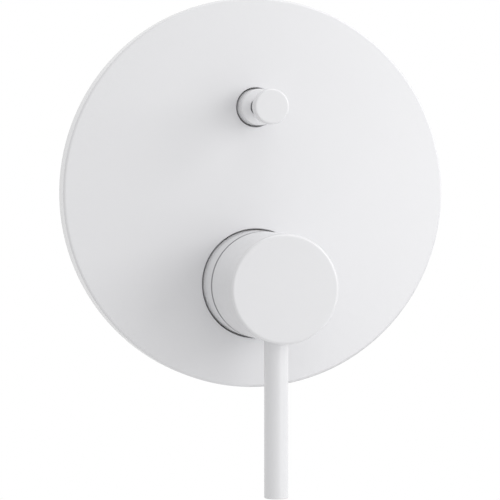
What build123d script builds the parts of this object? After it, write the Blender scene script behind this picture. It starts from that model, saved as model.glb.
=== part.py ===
from build123d import *
import math
import os

# Concealed bath shower mixer. Millimetres, +Z up, -Y out of the wall towards the user.
# The origin is the centre of the face plate on the finished wall. A depth is measured out of the
# wall, so a point at depth d has y = -d, and what is buried in the wall has a negative depth.

# Face plate: a shallow turned cup over the hole in the wall
plate_diameter = 165.0
plate_depth = 10.5
plate_wall = 2.0
plate_edge_round = 1.0
axis_spacing = 74.6
axes_drop = 1.1
plate_gap = 0.75
plate_hole_round = 0.3
seal_housing_wall = 4.4
seal_housing_length = 5.6
seal_housing_setback = 1.8
gasket_width = 4.0
gasket_thickness = 2.5

# Ceramic cartridge
cartridge_diameter = 35.0
housing_wall = 1.5
housing_step = 1.5
housing_front_wall = 1.6
turret_neck_diameter = 22.2
turret_neck_reach = 2.0
pivot_reach = 3.5
pivot_to_shoulder = 4.0
pivot_to_housing_front = 4.6
pivot_to_turret_back = 6.6
pin_diameter = 3.0
spindle_width = 8.0
spindle_chamfer = 1.0
spindle_heel = 4.5
spindle_neck_diameter = 3.6
ball_reach = 10.0
ball_diameter = 6.0
pocket_floor = 1.5
carrier_width = 18.0
drive_leg_width = 3.3
drive_leg_height = 13.6
drive_leg_length = 4.6
moving_disc_thickness = 3.0
mixing_pocket_width = 15.0
mixing_pocket_height = 9.4
mixing_pocket_round = 3.0
mixing_pocket_depth = 1.5
mixing_pocket_sill = 0.5
fixed_disc_thickness = 3.5
port_circle = 8.0
port_diameter = 6.4
port_slot_arc = 40.0
port_slot_width = 5.1
inlet_port_angle = 28.0
base_thickness = 4.0
seal_thickness = 1.5
seal_ring_width = 1.7
peg_diameter = 3.6
peg_length = 1.8
peg_place = 13.5
key_diameter = 2.6
key_length = 1.5

# Handle and pin lever. The lever rests straight down, with the water shut.
tilt_angle = 22.0
tilt_clearance = 0.3
rim_to_pivot = 12.0
rim_wall = 0.7
handle_step = 0.05
handle_reach = 51.1
handle_edge_round = 1.1
boss_diameter = 15.0
boss_to_pivot = 17.0
lever_diameter = 10.0
lever_length = 87.1
lever_reach = 35.4
lever_edge_round = 0.5
lever_seat_depth = 5.5
lever_thread_diameter = 7.9
grub_length = 5.0
grub_key_width = 3.0
grub_key_depth = 2.5
spindle_past_lever = 4.5

# Sleeve round the cartridge, screwed onto the neck of the body
neck_wall = 2.9
sleeve_wall = 2.0
sleeve_past_wall = 2.0
lip_margin = 1.0

# Cartridge nut
nut_wall = 2.75
nut_thread_length = 3.0
nut_flange_length = 3.7
nut_flange_lift = 0.3

# Diverter
collar_diameter = 15.4
collar_reach = 7.0
collar_edge_round = 0.5
collar_bore_gap = 0.55
knob_diameter = 14.8
knob_reach = 28.4
knob_thickness = 4.6
knob_edge_round = 0.9
shank_diameter = 6.8
shank_overlap = 9.5
stem_diameter = 6.0
stem_thread_diameter = 5.0
stem_thread_length = 10.0
diverter_travel = 8.0
diverter_neck_front = -2.5
nose_wall = 3.0
nose_length = 5.0
bush_hex_size = 22.0
bush_hex_length = 4.0
bush_thread_diameter = 18.9
bush_thread_length = 4.0
gallery_length = 5.5
bush_tube_diameter = 17.2
bush_tube_wall = 2.2
seat_land_length = 3.1
spring_seat_setback = 1.2
washer_diameter = 15.2
washer_thickness = 3.0
washer_hole_diameter = 6.0
flange_diameter = 11.6
flange_thickness = 1.5
rear_seat_diameter = 12.0
rear_way_length = 12.0
stem_nut_size = 8.0
stem_nut_length = 3.3
window_diameter = 4.4
window_count = 4
window_first_angle = 45.0
spring_wire = 1.0
spring_diameter = 10.0
spring_turns = 5

# Rubber ring sections
sleeve_ring_section = 2.3
collar_ring_section = 2.0
stem_ring_section = 1.3
bush_ring_section = 1.2
stem_ring_setbacks = (2.0, 5.6)
bush_ring_setback = 1.4

# Cast body
water_depth = -20.0
connection_diameter = 25.0
connection_hex_size = 30.0
connection_hex_length = 11.0
thread_bore_diameter = 18.6
thread_length = 14.0
inlet_half_span = 55.0
outlet_arm_length = 5.0
inlet_way_diameter = 13.0
inlet_way_end = 6.0
mixed_way_diameter = 8.0
bath_way_diameter = 9.0
bath_rib_width = 15.0
bath_rib_wall = 2.5
bath_rib_round = 4.0
shower_way_diameter = 7.0
diverter_neck_wall = 5.0
body_back_wall = 2.0
chamber_back_wall = 3.5
casting_round = 1.5
barrel_edge_round = 0.8
hex_corner_cut = 1.3
lug_half_span = 30.0
lug_hole_diameter = 5.5
lug_width = 14.0
lug_thickness = 5.0

# Clearances
thread_clearance = 0.05
seal_clearance = 0.05
seat_clearance = 0.1
seat_gap = 0.3
running_clearance = 0.08
pin_clearance = 0.05
slide_clearance = 0.2
slot_clearance = 0.3
ball_clearance = 0.3
disc_clearance = 0.2
turret_lift = 0.4
end_clearance = 0.1

# Places worked out from the sizes above
plate_radius = plate_diameter / 2
handle_z = -axis_spacing / 2 - axes_drop
diverter_z = axis_spacing / 2 - axes_drop
pivot = plate_depth + pivot_reach

cartridge_radius = cartridge_diameter / 2
chamber_radius = cartridge_radius + seat_clearance
neck_radius = chamber_radius + neck_wall
sleeve_inner_radius = neck_radius + thread_clearance
sleeve_radius = sleeve_inner_radius + sleeve_wall
handle_radius = sleeve_radius - handle_step
collar_radius = collar_diameter / 2

housing_bore_radius = cartridge_radius - housing_wall
housing_upper_radius = cartridge_radius - housing_step
turret_bore_radius = housing_upper_radius - housing_front_wall
housing_shoulder = pivot - pivot_to_shoulder
housing_front = pivot + pivot_to_housing_front
turret_back = pivot - pivot_to_turret_back
turret_shelf = turret_back - seat_clearance
turret_radius = turret_bore_radius - running_clearance
turret_neck_radius = turret_neck_diameter / 2
turret_front = housing_front - housing_front_wall - seat_clearance
ball_depth = pivot - ball_reach
ball_radius = ball_diameter / 2
carrier_back = ball_depth - ball_radius - ball_clearance - pocket_floor
carrier_front = turret_back - turret_lift
disc_travel = ball_reach * math.radians(tilt_angle)
disc_offset = disc_travel / 2
moving_disc_radius = housing_bore_radius - disc_offset - disc_clearance - slide_clearance
moving_disc_back = carrier_back - moving_disc_thickness
fixed_disc_back = moving_disc_back - fixed_disc_thickness
chamber_floor = fixed_disc_back - base_thickness
nut_bore_radius = housing_upper_radius + seat_clearance
nut_thread_radius = nut_bore_radius + nut_wall
nut_thread_front = housing_shoulder + nut_thread_length
nut_flange_back = nut_thread_front + nut_flange_lift
nut_flange_front = nut_flange_back + nut_flange_length
nut_corner_radius = neck_radius - 2 * seat_clearance

rim_inner_radius = handle_radius - rim_wall
hollow_radius = math.hypot(rim_inner_radius, rim_to_pivot)
dome_radius = hollow_radius - tilt_clearance
dome_inner_radius = dome_radius - sleeve_wall
boss_radius = boss_diameter / 2
boss_swing = math.asin(boss_radius / dome_radius) + math.radians(tilt_angle)
lip_radius = dome_radius * math.sin(boss_swing) + lip_margin
handle_rim = pivot + rim_to_pivot
handle_front = plate_depth + handle_reach
lever_depth = plate_depth + lever_reach
lever_radius = lever_diameter / 2
spindle_front = lever_depth + spindle_past_lever
socket_half = spindle_width / 2 + seat_clearance

collar_front = plate_depth + collar_reach
shank_radius = shank_diameter / 2
knob_front = plate_depth + knob_reach
knob_back = knob_front - knob_thickness
shank_back = collar_front - shank_overlap
stem_radius = stem_diameter / 2
nose_radius = stem_radius + nose_wall
bush_front = diverter_neck_front + seat_clearance
bush_hex_front = bush_front + bush_hex_length
nose_front = bush_hex_front + nose_length
bush_thread_back = bush_front - bush_thread_length
gallery_back = bush_thread_back - gallery_length
front_seat_depth = gallery_back - seat_land_length
spring_seat_depth = bush_front - spring_seat_setback
bush_ring_depth = gallery_back - bush_ring_setback
stem_ring_depths = [nose_front - setback for setback in stem_ring_setbacks]
bush_thread_radius = bush_thread_diameter / 2
bush_bore_radius = bush_thread_radius + thread_clearance
bush_tube_radius = bush_tube_diameter / 2
valve_bore_radius = bush_tube_radius + seat_clearance
washer_front = front_seat_depth - seat_gap - diverter_travel
washer_back = washer_front - washer_thickness
rear_seat_depth = washer_back - seat_gap
rear_way_back = rear_seat_depth - rear_way_length
flange_front = washer_front + flange_thickness
stem_back = washer_back - stem_nut_length - seat_gap
diverter_neck_radius = bush_bore_radius + diverter_neck_wall
bath_way_depth = rear_seat_depth - rear_way_length / 2
bath_rib_back = bath_way_depth - bath_way_diameter / 2 - bath_rib_wall

connection_radius = connection_diameter / 2
outlet_reach = neck_radius + outlet_arm_length + connection_hex_length
shower_outlet_z = diverter_z + outlet_reach
bath_outlet_z = handle_z - outlet_reach
body_back = rear_way_back - body_back_wall
chamber_back = water_depth - connection_radius - chamber_back_wall

OUT = (0, -1, 0)
UP = (0, 0, 1)
DOWN = (0, 0, -1)
RIGHT = (1, 0, 0)
LEFT = (-1, 0, 0)


# Shared ways of making a form

def at(depth, z=0.0, x=0.0):
    """A point at a depth out of the wall."""
    return (x, -depth, z)


def rod(start, direction, radius, length):
    """A round bar from a point along a direction."""
    place = Plane(origin=start, z_dir=direction)
    return place * Cylinder(radius, length, align=(Align.CENTER, Align.CENTER, Align.MIN))


def bar(radius, back, front, z, x=0.0):
    """A round bar along the depth."""
    return rod(at(back, z, x), OUT, radius, front - back)


def block(width, height, back, front, z, x=0.0):
    """A square-edged block along the depth, as wide as X and as high as Z."""
    place = Plane(origin=at(back, z, x), x_dir=RIGHT, z_dir=OUT)
    return place * Box(width, height, front - back, align=(Align.CENTER, Align.CENTER, Align.MIN))


def raised(sketch, back, front, z):
    """A flat outline, drawn as seen from the user, thickened along the depth."""
    place = Plane(origin=at(back, z), x_dir=RIGHT, z_dir=OUT)
    return place * extrude(sketch, front - back)


def turned(section, z):
    """A turned piece from a section drawn as radius across and depth up."""
    return Pos(0, 0, z) * Rot(180, 0, 0) * revolve(section, Axis.Y)


def outline(*points):
    """A closed section with straight sides."""
    return make_face(Polyline(*points, close=True))


def ring(inner, outer, back, front, z):
    """A plain turned ring."""
    return turned(outline((inner, back), (outer, back), (outer, front), (inner, front)), z)


def rubber_ring(inner_radius, section, depth, z):
    """A round-section rubber ring that lies round a bar along the depth."""
    place = Plane(origin=at(depth, z), z_dir=OUT)
    return place * Torus(inner_radius + section / 2, section / 2)


def on_sphere(radius, across):
    """Depth of the point on a ball about the tilt pivot that lies this far from the axis."""
    return pivot + math.sqrt(radius ** 2 - across ** 2)


def sphere_arc(radius, across_from, across_to):
    """Section line along a ball about the tilt pivot, between two distances from the axis."""
    across_mid = (across_from + across_to) / 2
    ends = [(across, on_sphere(radius, across)) for across in (across_from, across_mid, across_to)]
    return ThreePointArc(*ends)


# Face plate and what lies against it

def seal_ring_depth(ring_section):
    """Depth of the middle of a rubber ring in its housing behind the plate."""
    return plate_depth - plate_wall - seal_housing_setback - ring_section / 2


def seal_housing(hole_radius, ring_section, z):
    """Ring behind a hole of the plate, with a groove inside for a rubber ring."""
    front = plate_depth - plate_wall
    back = front - seal_housing_length
    middle = seal_ring_depth(ring_section)
    groove_radius = hole_radius - plate_gap + ring_section + 2 * seal_clearance
    groove_half = ring_section / 2 + seal_clearance
    housing = ring(hole_radius, hole_radius + seal_housing_wall, back, front, z)
    return housing - bar(groove_radius, middle - groove_half, middle + groove_half, z)


def make_face_plate():
    cup = turned(
        outline(
            (0, plate_depth),
            (plate_radius, plate_depth),
            (plate_radius, 0),
            (plate_radius - plate_wall, 0),
            (plate_radius - plate_wall, plate_depth - plate_wall),
            (0, plate_depth - plate_wall),
        ),
        0,
    )
    front_edge = cup.edges().filter_by(GeomType.CIRCLE).sort_by(Axis.Y)[0]
    cup = fillet(front_edge, plate_edge_round)
    for radius, section, z in (
        (sleeve_radius, sleeve_ring_section, handle_z),
        (collar_radius, collar_ring_section, diverter_z),
    ):
        hole_radius = radius + plate_gap
        cup -= bar(hole_radius, 0, plate_depth, z)
        front_circles = cup.edges().filter_by(GeomType.CIRCLE).group_by(Axis.Y)[0]
        cup = fillet(front_circles.sort_by(SortBy.RADIUS)[0], plate_hole_round)
        cup += seal_housing(hole_radius, section, z)
    return cup


def make_plate_gasket():
    outer = plate_radius - plate_wall - seal_clearance
    return ring(outer - gasket_width, outer, 0, gasket_thickness, 0)


# Cast body with its waterways

def blended(first, second, radius):
    """Two forms of the casting in one, with a round along the line where they meet."""
    joined = first + second
    return fillet(new_edges(first, second, combined=joined), radius)


def barrel(radius, back, front, z):
    """A round barrel of the casting along the depth, with a rounded back edge."""
    plain = bar(radius, back, front, z)
    return fillet(plain.edges().filter_by(GeomType.CIRCLE).sort_by(Axis.Y)[-1], barrel_edge_round)


def hexagon_bar(size, length):
    """A hexagon for a spanner, with the corners of its outer end turned off."""
    corner_radius = size / 2 / math.cos(math.pi / 6)
    on_floor = (Align.CENTER, Align.CENTER, Align.MIN)
    blank = Cylinder(corner_radius, length - hex_corner_cut, align=on_floor)
    cut = Cone(corner_radius, size / 2, hex_corner_cut, align=on_floor)
    blank += Pos(0, 0, length - hex_corner_cut) * cut
    return blank & extrude(RegularPolygon(size / 2, 6, major_radius=False), length)


def connection_hexagon(mouth, direction):
    """Hexagon at the mouth of a pipe arm."""
    start = Vector(mouth) - Vector(direction) * connection_hex_length
    return Plane(origin=start, z_dir=direction) * hexagon_bar(connection_hex_size, connection_hex_length)


def bath_rib():
    """Rib down the back of the casting that carries the bath way past the chamber."""
    foot = bath_outlet_z + connection_hex_length
    thickness = water_depth - bath_rib_back
    height = diverter_z - foot
    rib = Box(bath_rib_width, thickness, height, align=(Align.CENTER, Align.MIN, Align.MIN))
    rib = fillet(rib.edges().filter_by(Axis.Z).sort_by(Axis.Y)[-2:], bath_rib_round)
    return Pos(0, -water_depth, foot) * rib


def fixing_lugs():
    """Flat ear on each side of the body, with a hole for a wall screw."""
    back = water_depth - connection_radius
    width = 2 * lug_half_span
    ears = raised(SlotCenterToCenter(width, lug_width), back, back + lug_thickness, 0)
    for side in (-1, 1):
        ears -= bar(lug_hole_diameter / 2, back, back + lug_thickness, 0, side * lug_half_span)
    return ears


def casting_outside():
    """Outside of the casting: chamber, diverter neck, four pipe arms and the bath way's rib."""
    middle = at(water_depth, handle_z)
    upper = at(water_depth, diverter_z)
    outside = barrel(neck_radius, chamber_back, nut_thread_front, handle_z)
    for direction, reach in (
        (LEFT, inlet_half_span),
        (RIGHT, inlet_half_span),
        (DOWN, outlet_reach),
        (UP, axis_spacing),
    ):
        outside = blended(outside, rod(middle, direction, connection_radius, reach), casting_round)
    diverter_neck = barrel(diverter_neck_radius, body_back, diverter_neck_front, diverter_z)
    shower_arm = rod(upper, UP, connection_radius, outlet_reach)
    diverter_neck = blended(diverter_neck, shower_arm, casting_round)
    outside = blended(outside, diverter_neck, casting_round)
    outside += bath_rib()
    outside += connection_hexagon(at(water_depth, handle_z, -inlet_half_span), LEFT)
    outside += connection_hexagon(at(water_depth, handle_z, inlet_half_span), RIGHT)
    outside += connection_hexagon(at(water_depth, bath_outlet_z), DOWN)
    outside += connection_hexagon(at(water_depth, shower_outlet_z), UP)
    return outside + fixing_lugs()


def port_places():
    """Hot, cold and mixed ports of the cartridge, as seen from the user."""
    low = -port_circle * math.sin(math.radians(inlet_port_angle))
    side = port_circle * math.cos(math.radians(inlet_port_angle))
    return [(-side, low), (side, low), (0.0, port_circle)]


def make_mixer_body():
    body = casting_outside()
    body -= bar(chamber_radius, chamber_floor, nut_thread_front, handle_z)
    nut_bore = nut_thread_radius + thread_clearance
    body -= bar(nut_bore, housing_shoulder - seat_gap, nut_thread_front, handle_z)
    for side in (-1, 1):
        mouth = at(water_depth, handle_z, side * inlet_half_span)
        inward = (-side, 0, 0)
        body -= rod(mouth, inward, thread_bore_diameter / 2, thread_length)
        body -= rod(mouth, inward, inlet_way_diameter / 2, inlet_half_span - inlet_way_end)
    for x, z in port_places():
        body -= bar(port_diameter / 2, water_depth, chamber_floor, handle_z + z, x)
    for side in (-1, 1):
        peg_hole = peg_diameter / 2 + seat_clearance
        floor = chamber_floor - peg_length - seat_clearance
        body -= bar(peg_hole, floor, chamber_floor, handle_z, side * peg_place)
    mixed_start = handle_z + port_circle
    body -= rod(at(water_depth, mixed_start), UP, mixed_way_diameter / 2, diverter_z - mixed_start)
    body -= bar(bush_bore_radius, gallery_back, diverter_neck_front, diverter_z)
    body -= bar(valve_bore_radius, rear_seat_depth, gallery_back, diverter_z)
    body -= bar(rear_seat_diameter / 2, rear_way_back, rear_seat_depth, diverter_z)
    bath_foot = bath_outlet_z + thread_length
    body -= rod(at(bath_way_depth, bath_foot), UP, bath_way_diameter / 2, diverter_z - bath_foot)
    body -= bar(bath_way_diameter / 2, bath_way_depth, water_depth, bath_foot)
    body -= rod(at(water_depth, bath_outlet_z), UP, thread_bore_diameter / 2, thread_length)
    body -= rod(at(water_depth, shower_outlet_z), DOWN, thread_bore_diameter / 2, thread_length)
    gallery_middle = gallery_back + gallery_length / 2
    shower_from = Vector(at(gallery_middle, diverter_z))
    shower_to = Vector(at(water_depth, shower_outlet_z - thread_length / 2))
    shower_way = shower_to - shower_from
    body -= rod(shower_from, shower_way, shower_way_diameter / 2, shower_way.length)
    return body


# Ceramic cartridge, from the base to the spindle

def make_cartridge_base():
    base = bar(cartridge_radius - seat_clearance, chamber_floor, fixed_disc_back, handle_z)
    recess = port_diameter / 2 + seal_ring_width + seal_clearance
    for x, z in port_places():
        base -= bar(port_diameter / 2, chamber_floor, fixed_disc_back, handle_z + z, x)
        base -= bar(recess, chamber_floor, chamber_floor + seal_thickness, handle_z + z, x)
    for side in (-1, 1):
        base += bar(peg_diameter / 2, chamber_floor - peg_length, chamber_floor, handle_z, side * peg_place)
        key_place = side * (housing_bore_radius - disc_clearance)
        key = bar(key_diameter / 2, fixed_disc_back, fixed_disc_back + key_length, handle_z, key_place)
        base += key & bar(housing_bore_radius - seat_clearance, fixed_disc_back, housing_shoulder, handle_z)
    return base


def make_port_seals():
    inner = port_diameter / 2
    outer = inner + seal_ring_width
    seals = []
    for x, z in port_places():
        seal = ring(inner, outer, chamber_floor, chamber_floor + seal_thickness, handle_z + z)
        seals.append(Pos(x, 0, 0) * seal)
    return Compound(seals)


def make_fixed_disc():
    disc = Circle(housing_bore_radius - disc_clearance)
    for middle in (90.0, 180.0 + inlet_port_angle, -inlet_port_angle):
        path = CenterArc((0, 0), port_circle, middle - port_slot_arc / 2, port_slot_arc)
        disc -= SlotArc(path, port_slot_width)
    for side in (-1, 1):
        notch_place = side * (housing_bore_radius - disc_clearance)
        disc -= Pos(notch_place, 0) * Circle(key_diameter / 2 + seat_clearance)
    return raised(disc, fixed_disc_back, moving_disc_back, handle_z)


def make_moving_disc():
    disc = bar(moving_disc_radius, moving_disc_back, carrier_back, handle_z + disc_offset)
    pocket = RectangleRounded(mixing_pocket_width, mixing_pocket_height, mixing_pocket_round)
    pocket_z = handle_z + mixing_pocket_sill + mixing_pocket_height / 2
    return disc - raised(pocket, moving_disc_back, moving_disc_back + mixing_pocket_depth, pocket_z)


def make_disc_carrier():
    round_block = Pos(0, disc_offset) * Circle(moving_disc_radius)
    flats = Pos(0, disc_offset) * Rectangle(carrier_width, 2 * moving_disc_radius)
    carrier = raised(round_block & flats, carrier_back, carrier_front, handle_z)
    pocket_bottom = carrier_back + pocket_floor
    return carrier - bar(ball_radius + ball_clearance, pocket_bottom, carrier_front, handle_z)


def make_cartridge_housing():
    return turned(
        outline(
            (housing_bore_radius, fixed_disc_back),
            (cartridge_radius, fixed_disc_back),
            (cartridge_radius, housing_shoulder),
            (housing_upper_radius, housing_shoulder),
            (housing_upper_radius, housing_front),
            (turret_neck_radius + running_clearance, housing_front),
            (turret_neck_radius + running_clearance, housing_front - housing_front_wall),
            (turret_bore_radius, housing_front - housing_front_wall),
            (turret_bore_radius, turret_shelf),
            (housing_bore_radius, turret_shelf),
        ),
        handle_z,
    )


def make_spindle_guide():
    turret = bar(turret_radius, turret_back, turret_front, handle_z)
    turret += bar(turret_neck_radius, turret_front, housing_front + turret_neck_reach, handle_z)
    leg_inner = carrier_width / 2 + slide_clearance
    for side in (-1, 1):
        leg_x = side * (leg_inner + drive_leg_width / 2)
        leg_back = turret_back - drive_leg_length
        turret += block(drive_leg_width, drive_leg_height, leg_back, turret_back, handle_z, leg_x)
    slot_front = housing_front + turret_neck_reach
    reach = max(slot_front - pivot, pivot_to_turret_back)
    lean = math.radians(tilt_angle)
    slot_half = spindle_width / 2 / math.cos(lean) + reach * math.tan(lean) + slot_clearance
    slot_width = spindle_width + 2 * slot_clearance
    turret -= block(slot_width, 2 * slot_half, turret_back, slot_front, handle_z)
    pin_end = turret_radius - seat_clearance
    pin_hole = pin_diameter / 2 + pin_clearance
    return turret - rod(at(pivot, handle_z, -pin_end), RIGHT, pin_hole, 2 * pin_end)


def make_spindle_pin():
    pin_end = turret_radius - 2 * seat_clearance
    return rod(at(pivot, handle_z, -pin_end), RIGHT, pin_diameter / 2, 2 * pin_end)


def make_cartridge_spindle():
    heel = pivot - spindle_heel
    spindle = block(spindle_width, spindle_width, heel, spindle_front, handle_z)
    spindle = chamfer(spindle.edges().filter_by(Axis.Y), spindle_chamfer)
    spindle += bar(spindle_neck_diameter / 2, ball_depth, heel, handle_z)
    spindle += Pos(*at(ball_depth, handle_z)) * Sphere(ball_radius)
    hole = pin_diameter / 2 + pin_clearance
    return spindle - rod(at(pivot, handle_z, -spindle_width), RIGHT, hole, 2 * spindle_width)


def make_cartridge_nut():
    nut = bar(nut_thread_radius, housing_shoulder, nut_flange_back, handle_z)
    nut += raised(RegularPolygon(nut_corner_radius, 6), nut_flange_back, nut_flange_front, handle_z)
    return nut - bar(nut_bore_radius, housing_shoulder, nut_flange_front, handle_z)


# Sleeve, handle and lever

def make_sleeve():
    back = sleeve_past_wall
    shoulder = on_sphere(dome_radius, sleeve_radius)
    inner_shoulder = on_sphere(dome_inner_radius, sleeve_inner_radius)
    lip_front = on_sphere(dome_radius, lip_radius)
    lip_back = on_sphere(dome_inner_radius, lip_radius)
    section = make_face(
        [
            Line((sleeve_inner_radius, back), (sleeve_radius, back)),
            Line((sleeve_radius, back), (sleeve_radius, shoulder)),
            sphere_arc(dome_radius, sleeve_radius, lip_radius),
            Line((lip_radius, lip_front), (lip_radius, lip_back)),
            sphere_arc(dome_inner_radius, lip_radius, sleeve_inner_radius),
            Line((sleeve_inner_radius, inner_shoulder), (sleeve_inner_radius, back)),
        ]
    )
    return turned(section, handle_z)


def make_handle_body():
    boss_back = pivot + boss_to_pivot
    boss_root = on_sphere(hollow_radius, boss_radius)
    section = make_face(
        [
            Line((rim_inner_radius, handle_rim), (handle_radius, handle_rim)),
            Line((handle_radius, handle_rim), (handle_radius, handle_front)),
            Line((handle_radius, handle_front), (0, handle_front)),
            Line((0, handle_front), (0, boss_back)),
            Line((0, boss_back), (boss_radius, boss_back)),
            Line((boss_radius, boss_back), (boss_radius, boss_root)),
            sphere_arc(hollow_radius, boss_radius, rim_inner_radius),
        ]
    )
    handle = turned(section, handle_z)
    front_edge = handle.edges().filter_by(GeomType.CIRCLE).sort_by(Axis.Y)[0]
    handle = fillet(front_edge, handle_edge_round)
    socket_front = spindle_front + seat_clearance
    handle -= block(2 * socket_half, 2 * socket_half, boss_back, socket_front, handle_z)
    axis_point = at(lever_depth, handle_z)
    handle -= rod(axis_point, DOWN, lever_thread_diameter / 2 + thread_clearance, handle_radius)
    seat = at(lever_depth, handle_z - handle_radius + lever_seat_depth)
    return handle - rod(seat, DOWN, lever_radius + seal_clearance, 2 * lever_seat_depth)


def make_handle_grub_screw():
    top = handle_z - spindle_width / 2 - seal_clearance
    screw = rod(at(lever_depth, top), DOWN, lever_thread_diameter / 2, grub_length)
    key = RegularPolygon(grub_key_width / 2, 6, major_radius=False)
    place = Plane(origin=at(lever_depth, top - grub_length), z_dir=UP)
    return screw - place * extrude(key, grub_key_depth)


def make_lever_rod():
    seat_z = handle_z - handle_radius + lever_seat_depth
    rod_length = lever_length - handle_radius + lever_seat_depth
    lever = rod(at(lever_depth, seat_z), DOWN, lever_radius, rod_length)
    lever = fillet(lever.edges().filter_by(GeomType.CIRCLE).sort_by(Axis.Z)[0], lever_edge_round)
    grub_end = handle_z - spindle_width / 2 - seal_clearance - grub_length
    stud_length = grub_end - seat_gap - seat_z
    return lever + rod(at(lever_depth, seat_z), UP, lever_thread_diameter / 2, stud_length)


# Diverter

def make_diverter_bush():
    bore = stem_radius + running_clearance
    tube_bore = bush_tube_radius - bush_tube_wall
    bush = turned(
        outline(
            (bore, spring_seat_depth),
            (tube_bore, spring_seat_depth),
            (tube_bore, front_seat_depth),
            (bush_tube_radius, front_seat_depth),
            (bush_tube_radius, bush_thread_back),
            (bush_thread_radius, bush_thread_back),
            (bush_thread_radius, bush_front),
            (nose_radius, bush_front),
            (nose_radius, nose_front),
            (bore, nose_front),
        ),
        diverter_z,
    )
    hexagon = RegularPolygon(bush_hex_size / 2, 6, major_radius=False) - Circle(bore)
    bush += raised(hexagon, bush_front, bush_hex_front, diverter_z)
    window_depth = bush_thread_back - gallery_length / 2
    for i in range(window_count):
        turn = math.radians(window_first_angle + i * 360 / window_count)
        direction = (math.cos(turn), 0, math.sin(turn))
        bush -= rod(at(window_depth, diverter_z), direction, window_diameter / 2, bush_thread_radius)
    for depth in stem_ring_depths:
        half = stem_ring_section / 2 + seal_clearance
        groove = stem_radius + 2 * running_clearance + stem_ring_section
        bush -= ring(stem_radius / 2, groove, depth - half, depth + half, diverter_z)
    half = bush_ring_section / 2 + seal_clearance
    groove = valve_bore_radius - 2 * seal_clearance - bush_ring_section
    outer = bush_thread_radius
    return bush - ring(groove, outer, bush_ring_depth - half, bush_ring_depth + half, diverter_z)


def make_stem_o_rings():
    inner = stem_radius + running_clearance
    rings = [rubber_ring(inner, stem_ring_section, depth, diverter_z) for depth in stem_ring_depths]
    return Compound(rings)


def make_bush_o_ring():
    inner = valve_bore_radius - seal_clearance - bush_ring_section
    return rubber_ring(inner, bush_ring_section, bush_ring_depth, diverter_z)


def make_diverter_stem():
    thread_front = shank_back + stem_thread_length
    washer_core = washer_hole_diameter / 2 - seat_clearance
    stem = bar(stem_radius, flange_front, shank_back, diverter_z)
    stem += bar(stem_thread_diameter / 2, shank_back, thread_front, diverter_z)
    stem += bar(flange_diameter / 2, washer_front, flange_front, diverter_z)
    return stem + bar(washer_core, stem_back, washer_front, diverter_z)


def make_diverter_washer():
    return ring(washer_hole_diameter / 2, washer_diameter / 2, washer_back, washer_front, diverter_z)


def make_diverter_nut():
    hexagon = RegularPolygon(stem_nut_size / 2, 6, major_radius=False) - Circle(washer_hole_diameter / 2)
    return raised(hexagon, washer_back - stem_nut_length, washer_back, diverter_z)


def make_diverter_spring():
    wire_radius = spring_wire / 2
    back = flange_front + end_clearance + wire_radius
    height = spring_seat_depth - end_clearance - wire_radius - back
    path = Helix(height / spring_turns, height, spring_diameter / 2)
    start = Plane(origin=path @ 0, z_dir=path % 0)
    coil = sweep(start * Circle(wire_radius), path)
    return Plane(origin=at(back, diverter_z), z_dir=OUT) * coil


def make_diverter_collar():
    bore = shank_radius + collar_bore_gap
    thread_bore = nose_radius + thread_clearance
    collar = turned(
        outline(
            (thread_bore, bush_hex_front + seat_gap),
            (collar_radius, bush_hex_front + seat_gap),
            (collar_radius, collar_front),
            (bore, collar_front),
            (bore, nose_front + seat_gap),
            (thread_bore, nose_front + seat_gap),
        ),
        diverter_z,
    )
    front_edges = collar.edges().filter_by(GeomType.CIRCLE).sort_by(Axis.Y)[0:2]
    return fillet(front_edges.sort_by(SortBy.RADIUS)[-1], collar_edge_round)


def make_diverter_knob():
    knob = turned(
        outline(
            (0, shank_back),
            (shank_radius, shank_back),
            (shank_radius, knob_back),
            (knob_diameter / 2, knob_back),
            (knob_diameter / 2, knob_front),
            (0, knob_front),
        ),
        diverter_z,
    )
    front_edge = knob.edges().filter_by(GeomType.CIRCLE).sort_by(Axis.Y)[0]
    knob = fillet(front_edge, knob_edge_round)
    thread = stem_thread_diameter / 2 + thread_clearance
    return knob - bar(thread, shank_back, shank_back + stem_thread_length + end_clearance, diverter_z)


pieces = {
    "face_plate": make_face_plate(),
    "plate_gasket": make_plate_gasket(),
    "sleeve_o_ring": rubber_ring(
        sleeve_radius + seal_clearance, sleeve_ring_section, seal_ring_depth(sleeve_ring_section), handle_z
    ),
    "collar_o_ring": rubber_ring(
        collar_radius + seal_clearance, collar_ring_section, seal_ring_depth(collar_ring_section), diverter_z
    ),
    "mixer_body": make_mixer_body(),
    "cartridge_base": make_cartridge_base(),
    "port_seals": make_port_seals(),
    "fixed_disc": make_fixed_disc(),
    "moving_disc": make_moving_disc(),
    "disc_carrier": make_disc_carrier(),
    "cartridge_housing": make_cartridge_housing(),
    "spindle_guide": make_spindle_guide(),
    "spindle_pin": make_spindle_pin(),
    "cartridge_spindle": make_cartridge_spindle(),
    "cartridge_nut": make_cartridge_nut(),
    "sleeve": make_sleeve(),
    "handle_body": make_handle_body(),
    "handle_grub_screw": make_handle_grub_screw(),
    "lever_rod": make_lever_rod(),
    "diverter_bush": make_diverter_bush(),
    "bush_o_ring": make_bush_o_ring(),
    "stem_o_rings": make_stem_o_rings(),
    "diverter_spring": make_diverter_spring(),
    "diverter_stem": make_diverter_stem(),
    "diverter_washer": make_diverter_washer(),
    "diverter_nut": make_diverter_nut(),
    "diverter_collar": make_diverter_collar(),
    "diverter_knob": make_diverter_knob(),
}

os.makedirs("parts", exist_ok=True)
for name, piece in pieces.items():
    export_step(piece, f"parts/{name}.step")
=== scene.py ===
import math

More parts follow.
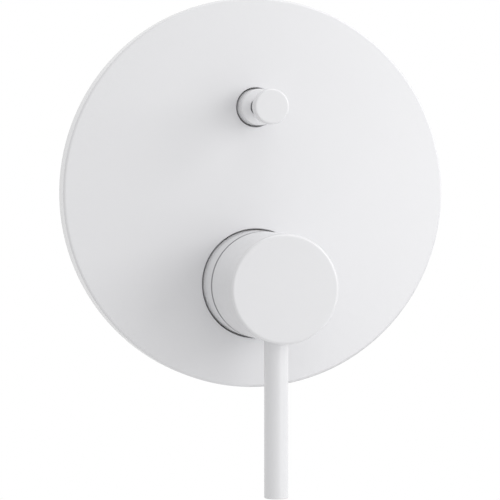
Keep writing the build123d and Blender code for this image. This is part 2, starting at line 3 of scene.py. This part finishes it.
import bpy
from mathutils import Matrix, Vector


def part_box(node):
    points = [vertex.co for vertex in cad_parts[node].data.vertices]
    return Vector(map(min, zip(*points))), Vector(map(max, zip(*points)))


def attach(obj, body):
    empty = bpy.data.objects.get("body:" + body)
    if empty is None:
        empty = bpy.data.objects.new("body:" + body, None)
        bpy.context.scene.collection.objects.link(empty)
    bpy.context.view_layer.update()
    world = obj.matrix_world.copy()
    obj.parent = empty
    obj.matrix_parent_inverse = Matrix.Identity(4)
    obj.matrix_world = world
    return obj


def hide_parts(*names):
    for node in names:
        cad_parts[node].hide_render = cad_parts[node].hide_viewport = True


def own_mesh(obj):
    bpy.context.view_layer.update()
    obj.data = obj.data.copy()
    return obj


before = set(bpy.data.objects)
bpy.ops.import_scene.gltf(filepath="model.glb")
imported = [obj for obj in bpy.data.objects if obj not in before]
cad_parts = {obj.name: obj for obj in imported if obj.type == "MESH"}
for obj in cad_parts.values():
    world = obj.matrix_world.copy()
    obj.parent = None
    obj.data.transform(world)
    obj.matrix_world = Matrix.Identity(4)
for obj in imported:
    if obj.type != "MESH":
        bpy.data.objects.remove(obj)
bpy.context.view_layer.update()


# The body behind the wall is one sand-cast brass casting with two inlets, two outlets and two
# fixing ears. The sand leaves a dull grainy skin and a line where the mould's halves met, and the
# hexagons, mouths and necks are machined bright afterwards.
class Shade:
    """A value in a material's nodes that takes part in sums as a number does."""

    def __init__(self, tree, socket=None):
        self.tree = tree
        self.socket = socket

    def node(self, kind, settings, inputs, out=0):
        made = self.tree.nodes.new(kind)
        for name, setting in settings.items():
            setattr(made, name, setting)
        for name, value in inputs.items():
            if isinstance(value, Shade):
                self.tree.links.new(value.socket, made.inputs[name])
            else:
                made.inputs[name].default_value = value
        return Shade(self.tree, made.outputs[out])

    def sum(self, operation, first, second):
        return self.node("ShaderNodeMath", {"operation": operation}, {0: first, 1: second})

    def __add__(self, other):
        return self.sum("ADD", self, other)

    def __sub__(self, other):
        return self.sum("SUBTRACT", self, other)

    def __rsub__(self, other):
        return self.sum("SUBTRACT", other, self)

    def __mul__(self, other):
        return self.sum("MULTIPLY", self, other)

    def __gt__(self, other):
        return self.sum("GREATER_THAN", self, other)

    def __lt__(self, other):
        return self.sum("LESS_THAN", self, other)

    def __or__(self, other):
        return self.sum("MAXIMUM", self, other)

    def __abs__(self):
        return self.node("ShaderNodeMath", {"operation": "ABSOLUTE"}, {0: self})

    __radd__ = __add__
    __rmul__ = __mul__
    __ror__ = __or__


def new_finish(name):
    """A material with its main shader and the place on the piece, in metres."""
    material = bpy.data.materials.new(name)
    material.use_nodes = True
    shader = material.node_tree.nodes["Principled BSDF"]
    place = Shade(material.node_tree).node("ShaderNodeTexCoord", {}, {}, "Object")
    return material, shader, place


def feed(shader, **values):
    """Links what varies to the shader's sockets."""
    for name, value in values.items():
        socket = shader.inputs[name.replace("_", " ").title()]
        value.tree.links.new(value.socket, socket)


def across(place, axis):
    """How far a place lies along X, Y or Z."""
    return place.node("ShaderNodeSeparateXYZ", {}, {"Vector": place}, axis)


def mixed(amount, first, second):
    """A colour between two, by an amount that varies over the surface."""
    first_socket, second_socket, colour_out = 6, 7, 2
    inputs = {"Factor": amount}
    for socket, colour in ((first_socket, first), (second_socket, second)):
        inputs[socket] = colour if isinstance(colour, Shade) else (*colour, 1)
    return amount.node("ShaderNodeMix", {"data_type": "RGBA"}, inputs, colour_out)


def noise(place, scale, detail=2.0):
    """Soft random lumps, so many to the metre."""
    return place.node("ShaderNodeTexNoise", {}, {"Vector": place, "Scale": scale, "Detail": detail})


def bumped(height, depth):
    """A surface pushed in and out by a height, to a depth in metres."""
    return height.node("ShaderNodeBump", {}, {"Height": height, "Distance": depth, "Strength": 1.0})


def finish_nodes(material, *names):
    """Gives a finish to pieces that keep their CAD form."""
    for name in names:
        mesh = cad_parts[name].data
        mesh.materials.clear()
        mesh.materials.append(material)


body_low, body_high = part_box("mixer_body")
hexagon_length = 0.011
water_plane = 0.020
neck_back = 0.004
mould_line_width = 0.0004
sand_depth = 0.0005
sand_dark, sand_pale = (0.40, 0.28, 0.12), (0.66, 0.52, 0.27)
cut_dark, cut_pale = (0.68, 0.52, 0.25), (0.78, 0.62, 0.33)
cast_brass, brass_skin, place = new_finish("cast_brass")
brass_skin.inputs["Metallic"].default_value = 1.0
side, depth, height = (across(place, axis) for axis in "XYZ")
grain = noise(place, 700.0, 4.0)
mottle = noise(place, 110.0, 4.0)
tarnish = (mottle - 0.36) * 3.2
machined = (
    (abs(side) > body_high.x - hexagon_length)
    | (height > body_high.z - hexagon_length)
    | (height < body_low.z + hexagon_length)
    | (depth < neck_back)
)
mould_line = (1 - abs(depth - water_plane) * (1 / mould_line_width)) | 0.0
feed(
    brass_skin,
    base_color=mixed(
        machined,
        mixed(tarnish * 0.7 + grain * 0.3, sand_dark, sand_pale),
        mixed(tarnish, cut_dark, cut_pale),
    ),
    roughness=(0.34 + grain * 0.26) * (1 - machined) + (0.18 + mottle * 0.14) * machined,
    normal=bumped((grain + mould_line) * (1 - machined), sand_depth),
)
finish_nodes(cast_brass, "mixer_body")


# The smaller brass pieces are turned from bar: the ring nut over the cartridge, the diverter's
# bush, stem and nut. They are bright, with fine lines left by the tool.
def rings(place, axis, pitch):
    """Even ridges one after the other along an axis."""
    ridge_at_scale_one = math.pi / 10
    return place.node(
        "ShaderNodeTexWave", {"bands_direction": axis}, {"Vector": place, "Scale": ridge_at_scale_one / pitch}
    )


tool_pitch = 0.00035
tool_depth = 0.00002
turned_dark, turned_pale = (0.66, 0.50, 0.24), (0.76, 0.61, 0.33)
turned_brass, brass, place = new_finish("turned_brass")
brass.inputs["Metallic"].default_value = 1.0
mottle = noise(place, 160.0)
feed(
    brass,
    base_color=mixed(mottle, turned_dark, turned_pale),
    roughness=0.18 + mottle * 0.16,
    normal=bumped(rings(place, "Y", tool_pitch), tool_depth),
)
finish_nodes(turned_brass, "cartridge_nut", "diverter_bush", "diverter_stem", "diverter_nut")


# The four mouths of the body carry half-inch pipe threads, cut with a tap after casting. The ridge
# is modelled once as a helix and set into each mouth.
def pick(piece, test):
    """Selects the points of a piece that pass a test, ready for the next tool."""
    bpy.ops.object.mode_set(mode="EDIT")
    bpy.ops.mesh.select_all(action="DESELECT")
    bpy.ops.object.mode_set(mode="OBJECT")
    for point in piece.data.vertices:
        point.select = test(point.co)
    bpy.ops.object.mode_set(mode="EDIT")


def wind(piece, turns, pitch, steps):
    """Carries a flat section round the Z axis, a pitch further up with each turn, and closes its ends."""
    bpy.ops.mesh.select_all(action="SELECT")
    bpy.ops.mesh.delete(type="ONLY_FACE")
    bpy.ops.object.mode_set(mode="OBJECT")
    bpy.ops.object.modifier_add(type="SCREW")
    coil = piece.modifiers[-1]
    coil.angle = 2 * math.pi * turns
    coil.screw_offset = pitch * turns
    coil.steps = steps
    coil.render_steps = steps
    bpy.ops.object.modifier_apply(modifier=coil.name)
    bpy.ops.object.mode_set(mode="EDIT")
    bpy.ops.mesh.select_all(action="SELECT")
    bpy.ops.mesh.fill_holes(sides=0)
    bpy.ops.mesh.normals_make_consistent(inside=False)
    bpy.ops.object.mode_set(mode="OBJECT")


def set_down(piece, name, turn, place):
    """Turns and moves a finished piece to its place, which then lies in its mesh."""
    smooth_below = math.radians(35)
    piece.name = name
    piece.rotation_euler = turn
    piece.location = place
    bpy.ops.object.transform_apply()
    bpy.ops.object.shade_smooth_by_angle(angle=smooth_below)


nut_low, nut_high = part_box("cartridge_nut")
handle_axis = (nut_low.z + nut_high.z) / 2
quarter = math.pi / 2
bore_radius = 0.0093
thread_pitch = 0.001814
thread_turns = 7
thread_steps = 40 * thread_turns
ridge_depth = 0.0007
ridge_root = 0.0001
root_share = 0.9
crest_share = 0.3
bpy.ops.object.select_all(action="DESELECT")
bpy.ops.mesh.primitive_plane_add(
    size=1.0, rotation=(quarter, 0, 0), location=(bore_radius - (ridge_depth - ridge_root) / 2, 0, 0)
)
thread_master = bpy.context.object
thread_master.scale = (ridge_depth + ridge_root, root_share * thread_pitch, 1.0)
bpy.ops.object.transform_apply()
pick(thread_master, lambda point: point.x < bore_radius - ridge_depth / 2)
bpy.ops.transform.resize(value=(1, 1, crest_share), center_override=(bore_radius, 0, 0))
wind(thread_master, thread_turns, thread_pitch, thread_steps)
thread_inset = (thread_turns + 1) * thread_pitch
for name, turn, mouth in (
    ("hot_thread", (0, -quarter, 0), (body_low.x + thread_inset, water_plane, handle_axis)),
    ("cold_thread", (0, quarter, 0), (body_high.x - thread_inset, water_plane, handle_axis)),
    ("shower_thread", (0, 0, 0), (0, water_plane, body_high.z - thread_inset)),
    ("bath_thread", (2 * quarter, 0, 0), (0, water_plane, body_low.z + thread_inset)),
):
    bpy.ops.object.select_all(action="DESELECT")
    thread_master.select_set(True)
    bpy.context.view_layer.objects.active = thread_master
    bpy.ops.object.duplicate()
    thread = bpy.context.object
    set_down(thread, name, turn, mouth)
    thread.data.materials.append(turned_brass)
    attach(thread, "wall_body")
bpy.ops.object.select_all(action="DESELECT")
thread_master.select_set(True)
bpy.ops.object.delete()


# The neck of the body carries a fine outer thread, so that the sleeve can be screwed further in or
# out to suit the wall. A few turns show behind the sleeve.
sleeve_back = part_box("sleeve")[1].y
neck_radius = 0.0205
neck_pitch = 0.0015
neck_turns = 4
neck_steps = 64 * neck_turns
neck_crest = 0.0005
neck_crest_share = 0.25
bpy.ops.object.select_all(action="DESELECT")
bpy.ops.mesh.primitive_plane_add(
    size=1.0,
    rotation=(quarter, 0, 0),
    location=(neck_radius + (neck_crest - ridge_root) / 2, 0, neck_pitch / 2),
)
neck_thread = bpy.context.object
neck_thread.scale = (neck_crest + ridge_root, root_share * neck_pitch, 1.0)
bpy.ops.object.transform_apply()
pick(neck_thread, lambda point: point.x > neck_radius)
bpy.ops.transform.resize(value=(1, 1, neck_crest_share), center_override=(neck_radius, 0, neck_pitch / 2))
wind(neck_thread, neck_turns, neck_pitch, neck_steps)
set_down(neck_thread, "neck_thread", (-quarter, 0, 0), (0, sleeve_back, handle_axis))
neck_thread.data.materials.append(turned_brass)
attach(neck_thread, "wall_body")


# The ceramic cartridge has moulded plastic parts and two lapped ceramic discs. It drops into the
# body's chamber, and the ring nut holds it down.
def moulded(name, dark, pale, roughness):
    """A plastic or ceramic with the faint grain of its mould."""
    grain_depth = 0.00003
    material, skin, spot = new_finish(name)
    texture = noise(spot, 1300.0)
    cloud = noise(spot, 70.0)
    feed(
        skin,
        base_color=mixed(cloud, dark, pale),
        roughness=roughness + texture * 0.15,
        normal=bumped(texture, grain_depth),
    )
    return material


moulded_roughness = 0.35
lapped_roughness = 0.06
grey_plastic = moulded("grey_plastic", (0.50, 0.51, 0.53), (0.58, 0.59, 0.61), moulded_roughness)
dark_plastic = moulded("dark_plastic", (0.10, 0.11, 0.13), (0.14, 0.15, 0.17), moulded_roughness)
pale_plastic = moulded("pale_plastic", (0.69, 0.68, 0.63), (0.75, 0.74, 0.69), moulded_roughness)
white_ceramic = moulded("white_ceramic", (0.79, 0.78, 0.75), (0.84, 0.83, 0.80), lapped_roughness)
finish_nodes(grey_plastic, "cartridge_housing")
finish_nodes(dark_plastic, "cartridge_base", "disc_carrier")
finish_nodes(pale_plastic, "spindle_guide")
finish_nodes(white_ceramic, "fixed_disc", "moving_disc")


# The cartridge's spindle, the pin that it tilts on and the grub screw that holds the handle on it
# are stainless steel, with fine streaks along the drawn bar.
streak_stretch = 0.04
streak_depth = 0.00001
steel_dark, steel_pale = (0.54, 0.54, 0.56), (0.66, 0.66, 0.68)
bright_steel, steel, place = new_finish("bright_steel")
steel.inputs["Metallic"].default_value = 1.0
drawn = place.node("ShaderNodeMapping", {}, {"Vector": place, "Scale": (1.0, streak_stretch, 1.0)})
streaks = noise(drawn, 2200.0)
feed(
    steel,
    base_color=mixed(streaks, steel_dark, steel_pale),
    roughness=0.2 + streaks * 0.2,
    normal=bumped(streaks, streak_depth),
)
finish_nodes(bright_steel, "spindle_pin", "cartridge_spindle", "handle_grub_screw")


# The diverter's spring is coiled from steel wire, with a closed coil at each end. It sits in the
# bush and sends the stem back when the water stops, so it shortens as the knob is pulled.
coil_low, coil_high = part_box("diverter_spring")
wire = 0.001
wire_sides = 12
open_turns = 4
coil_steps = 36
coil_length = coil_high.y - coil_low.y
coil_radius = (coil_high.x - coil_low.x - wire) / 2
bpy.ops.object.select_all(action="DESELECT")
bpy.ops.mesh.primitive_circle_add(
    vertices=wire_sides,
    radius=wire / 2,
    fill_type="NGON",
    rotation=(quarter, 0, 0),
    location=(coil_radius, 0, wire / 2),
)
spring = bpy.context.object
bpy.ops.object.transform_apply()
pick(spring, lambda point: True)
wind(spring, open_turns, (coil_length - wire) / open_turns, coil_steps * open_turns)
for end in (wire / 2, coil_length - wire / 2):
    bpy.ops.mesh.primitive_torus_add(
        major_radius=coil_radius,
        minor_radius=wire / 2,
        major_segments=coil_steps,
        minor_segments=wire_sides,
        location=(0, 0, end),
    )
    closed_coil = bpy.context.object
    bpy.ops.object.transform_apply()
    bpy.ops.object.select_all(action="DESELECT")
    closed_coil.select_set(True)
    spring.select_set(True)
    bpy.context.view_layer.objects.active = spring
    bpy.ops.object.join()
set_down(spring, "spring_coil", (-quarter, 0, 0), (0, coil_low.y, (coil_low.z + coil_high.z) / 2))
spring.data.materials.append(bright_steel)
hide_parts("diverter_spring")
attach(spring, "wall_body")
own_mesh(spring)


# Rubber rings and washers seal the joints. Those in the water are moulded in black rubber. The two
# that show in the gaps of the plate are pale grey rubber, made near-white as painted light that
# lifts the shade in the gaps.
def moulded_rubber(name, dark, pale):
    """A rubber with the dull, fine skin of its mould."""
    skin_depth = 0.00004
    material, rubber, spot = new_finish(name)
    skin = noise(spot, 1500.0)
    feed(
        rubber,
        base_color=mixed(skin, dark, pale),
        roughness=0.5 + skin * 0.2,
        normal=bumped(skin, skin_depth),
    )
    return material


black_rubber = moulded_rubber("black_rubber", (0.012, 0.012, 0.013), (0.03, 0.03, 0.032))
# Near-white grey, partly painted light that lightens the dark gaps around the sleeve and collar.
grey_rubber = moulded_rubber("grey_rubber", (0.74, 0.74, 0.75), (0.80, 0.80, 0.81))
finish_nodes(black_rubber, "port_seals", "stem_o_rings", "bush_o_ring", "diverter_washer")
finish_nodes(grey_rubber, "sleeve_o_ring", "collar_o_ring")


# A strip of closed-cell foam lies inside the plate's rim and seals it against the tiles. It is cut
# to length from a roll with rounded edges, and its ends butt together at the bottom.
strip_low, strip_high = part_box("plate_gasket")
strip_width = 0.004
strip_thickness = strip_high.y - strip_low.y
strip_round = 0.0007
strip_turn = 0.9985
strip_steps = 240
cell_depth = 0.0002
foam_dark, foam_pale = (0.045, 0.045, 0.048), (0.09, 0.09, 0.095)
bpy.ops.object.select_all(action="DESELECT")
bpy.ops.mesh.primitive_plane_add(
    size=1.0, rotation=(quarter, 0, 0), location=(strip_high.x - strip_width / 2, 0, strip_thickness / 2)
)
strip = bpy.context.object
strip.scale = (strip_width, strip_thickness, 1.0)
bpy.ops.object.transform_apply()
pick(strip, lambda point: True)
bpy.ops.mesh.bevel(offset=strip_round, segments=4, affect="VERTICES")
wind(strip, strip_turn, 0.0, strip_steps)
set_down(strip, "foam_strip", (-quarter, quarter, 0), (0, strip_low.y, 0))
foam_gasket, foam, place = new_finish("foam_gasket")
cells = place.node("ShaderNodeTexVoronoi", {}, {"Vector": place, "Scale": 1400.0})
feed(
    foam,
    base_color=mixed(cells, foam_dark, foam_pale),
    roughness=0.75 + cells * 0.2,
    normal=bumped(cells, cell_depth),
)
strip.data.materials.append(foam_gasket)
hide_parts("plate_gasket")
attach(strip, "wall_body")


# All the trim in front of the wall is brass with a white powder coat, baked on, so it has a faint
# orange peel and a satin gloss. Inside the plate's rim and its gaps, behind the coat, the colour is a
# near-white and rougher: painted light that lifts the shade there. The sleeve's dome under the
# handle is bare nickel in a dark grey that is partly painted shade for the groove between handle and sleeve.
def white_coat(name, coat_back, dome_shade_front=None):
    """Powder coat between two depths: dark nickel before it, partly painted shade, and painted light behind
    it in the rim.
    """
    white_dark, white_pale = (0.785, 0.785, 0.80), (0.80, 0.80, 0.815)
    gap_light_white = (0.96, 0.96, 0.97)
    shaded_nickel_dark, shaded_nickel_pale = (0.30, 0.30, 0.31), (0.34, 0.34, 0.35)
    peel_depth = 0.00001
    material, paint, spot = new_finish(name)
    depth = across(spot, "Y")
    flat = spot.node("ShaderNodeMapping", {}, {"Vector": spot, "Scale": (1.0, 0.0, 1.0)})
    radius = flat.node("ShaderNodeVectorMath", {"operation": "LENGTH"}, {0: flat}, "Value")
    # Painted light: near-white inside the rim and the gaps behind the coat, lifting the shade there.
    gap_light = (depth > coat_back) * (radius < rim_radius)
    peel = noise(spot, 420.0)
    cloud = noise(spot, 30.0)
    colour = mixed(gap_light, mixed(cloud, white_dark, white_pale), gap_light_white)
    roughness = 0.2 + peel * 0.08 + gap_light * 0.3
    if dome_shade_front is not None:
        # Partly painted shade: the dome's bare nickel is a dark grey that darkens the groove under the
        # handle.
        shaded_dome = depth < dome_shade_front
        colour = mixed(shaded_dome, colour, mixed(cloud, shaded_nickel_dark, shaded_nickel_pale))
        roughness = roughness + shaded_dome * 0.15
        feed(paint, metallic=shaded_dome * 0.9)
    feed(paint, base_color=colour, roughness=roughness, normal=bumped(peel, peel_depth))
    return material


plate_low, plate_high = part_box("face_plate")
handle_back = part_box("handle_body")[1].y
rim_wrap = 0.001
rim_radius = plate_high.x - rim_wrap
hole_round = 0.0003
groove_width = 0.0022
white_plate = white_coat("white_plate", plate_low.y + hole_round)
white_sleeve = white_coat("white_sleeve", plate_low.y, handle_back + groove_width)
white_trim = white_coat("white_trim", plate_low.y)
finish_nodes(white_plate, "face_plate")
finish_nodes(white_sleeve, "sleeve")
finish_nodes(white_trim, "handle_body", "lever_rod", "diverter_collar", "diverter_knob")


# The floor is a plain pale disc of matt paint. It lies well below the mixer and keeps its shadow.
floor_radius = 0.9
floor_level = -0.3
bpy.ops.object.select_all(action="DESELECT")
bpy.ops.mesh.primitive_circle_add(
    vertices=128, radius=floor_radius, fill_type="NGON", location=(0, 0, floor_level)
)
floor = bpy.context.object
floor.name = "floor"
floor_dark, floor_pale = (0.84, 0.84, 0.84), (0.86, 0.86, 0.86)
floor_paint, matt, place = new_finish("floor_paint")
matt.inputs["Roughness"].default_value = 0.9
feed(matt, base_color=mixed(noise(place, 3.0), floor_dark, floor_pale))
floor.data.materials.append(floor_paint)


# Light: a white room all round, a soft lamp close by at the upper right, one overhead and a weak one
# in front. The room shows as full white, also in reflections, and lights the mixer at less than that.
world = bpy.data.worlds.new("white_room")
bpy.context.scene.world = world
world.use_nodes = True
room = world.node_tree.nodes["Background"]
room.inputs["Color"].default_value = (1, 1, 1, 1)
paths = world.node_tree.nodes.new("ShaderNodeLightPath")
camera_ray, glossy_ray, through_ray = (
    Shade(world.node_tree, paths.outputs[f"Is {kind} Ray"]) for kind in ("Camera", "Glossy", "Transmission")
)
fill_level = 0.69
strength = fill_level + (camera_ray | glossy_ray | through_ray) * (1 - fill_level)
world.node_tree.links.new(strength.socket, room.inputs["Strength"])

for name, place, size, watts in (
    ("side_lamp", (0.47, -0.25, 0.22), 0.36, 1.08),
    ("top_lamp", (0.05, -0.12, 0.6), 0.4, 0.72),
    ("front_lamp", (0.4, -0.6, 0.0), 0.4, 0.68),
):
    lamp = bpy.data.lights.new(name, "AREA")
    lamp.shape = "SQUARE"
    lamp.size = size
    lamp.energy = watts
    lamp_stand = bpy.data.objects.new(name, lamp)
    bpy.context.scene.collection.objects.link(lamp_stand)
    lamp_stand.location = place
    lamp_stand.rotation_euler = (-lamp_stand.location).to_track_quat("-Z", "Y").to_euler()


# The camera stands a little to the left and just above the middle, with a long lens.
camera_turn = math.radians(-13.67)
camera_rise = math.radians(2.19)
camera_distance = 1.218
camera_aim = Vector((-0.002515, -0.0105, -0.024209))
camera = bpy.data.cameras.new("camera")
camera.sensor_width = 36.0
camera.lens = 207.04
stand = bpy.data.objects.new("camera", camera)
bpy.context.scene.collection.objects.link(stand)
towards = Vector(
    (
        math.sin(camera_turn) * math.cos(camera_rise),
        -math.cos(camera_turn) * math.cos(camera_rise),
        math.sin(camera_rise),
    )
)
stand.location = camera_aim + camera_distance * towards
stand.rotation_euler = (-towards).to_track_quat("-Z", "Y").to_euler()
bpy.context.scene.camera = stand
bpy.context.scene.view_settings.view_transform = "Standard"
